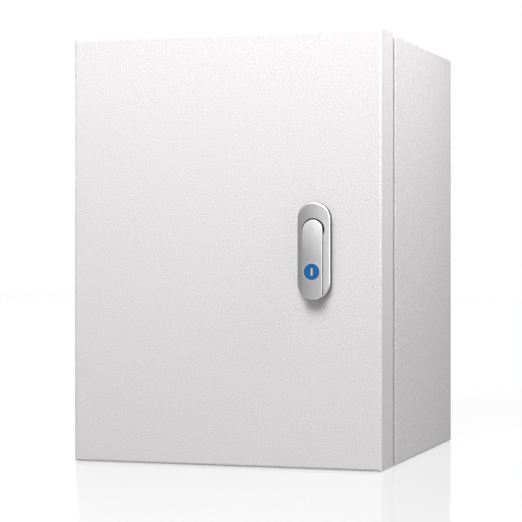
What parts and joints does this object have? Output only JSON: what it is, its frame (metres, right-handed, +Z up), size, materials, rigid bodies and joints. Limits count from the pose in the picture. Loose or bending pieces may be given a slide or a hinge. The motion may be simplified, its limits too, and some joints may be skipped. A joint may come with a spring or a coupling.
{
  "type": "electrical enclosure",
  "caption": "Wall-mounted steel enclosure: folded box, deep tray door on concealed hinges, mounting plate, cable entry and a lift-and-turn lock with a key disc.",
  "frame": {"origin": "middle of the four wall holes, on the back of the box", "axes": "+Z up, +Y into the wall, the door faces -Y and is hinged at -X"},
  "size_m": [0.3, 0.3138, 0.4],
  "materials": {
    "powder_coat": "satin, fine grain",
    "galvanised_sheet": "spangled",
    "zinc_plated_steel": "bright",
    "hinge_casting": "dull cast",
    "lock_casting": "satin plated",
    "seal_foam": "matt foam",
    "gasket_rubber": "matt",
    "key_disc_plastic": "gloss"
  },
  "bodies": {
    "cabinet": {"box_shell": "powder_coat", "mounting_plate": "galvanised_sheet", "gland_plate": "galvanised_sheet", "plate_studs": "zinc_plated_steel", "plate_washers": "zinc_plated_steel", "plate_nuts": "zinc_plated_steel", "gland_studs": "zinc_plated_steel", "gland_nuts": "zinc_plated_steel", "body_earth_stud": "zinc_plated_steel", "body_earth_washer": "zinc_plated_steel", "body_earth_nuts": "zinc_plated_steel", "hinge_screws": "zinc_plated_steel", "hinge_screw_nuts": "zinc_plated_steel", "upper_hinge_pin": "zinc_plated_steel", "lower_hinge_pin": "zinc_plated_steel", "upper_hinge_bracket": "hinge_casting", "lower_hinge_bracket": "hinge_casting", "gland_gasket": "gasket_rubber"},
    "door": {"door_panel": "powder_coat", "door_seal": "seal_foam", "upper_hinge_knuckle": "hinge_casting", "lower_hinge_knuckle": "hinge_casting", "door_earth_stud": "zinc_plated_steel", "door_earth_washer": "zinc_plated_steel", "door_earth_nuts": "zinc_plated_steel", "lock_base": "lock_casting", "lock_gasket": "gasket_rubber", "lock_washer": "zinc_plated_steel", "lock_nut": "zinc_plated_steel", "lock_screw": "zinc_plated_steel"},
    "spindle": {"lock_spindle": "zinc_plated_steel", "spindle_clip": "zinc_plated_steel", "lock_tongue": "zinc_plated_steel", "tongue_washer": "zinc_plated_steel", "tongue_bolt": "zinc_plated_steel"},
    "handle": {"lock_handle": "lock_casting", "handle_pin": "zinc_plated_steel", "key_cylinder": "lock_casting"},
    "key": {"key_disc": "key_disc_plastic", "key_plug": "zinc_plated_steel"}
  },
  "joints": [
    {"name": "door_swing", "type": "hinge", "parent": "cabinet", "child": "door", "pos_m": [-0.1415, -0.264, 0], "axis": [0, 0, -1], "range_deg": [0, 120]},
    {"name": "handle_turn", "type": "hinge", "parent": "door", "child": "spindle", "pos_m": [0.0881, -0.3, -0.01975], "axis": [0, -1, 0], "range_deg": [0, 90]},
    {"name": "handle_lift", "type": "hinge", "parent": "spindle", "child": "handle", "pos_m": [0.0881, -0.3108, -0.03925], "axis": [1, 0, 0], "range_deg": [0, 30]},
    {"name": "key_turn", "type": "hinge", "parent": "handle", "child": "key", "pos_m": [0.0881, -0.3, -0.01975], "axis": [0, 1, 0], "range_deg": [0, 90]}
  ]
}
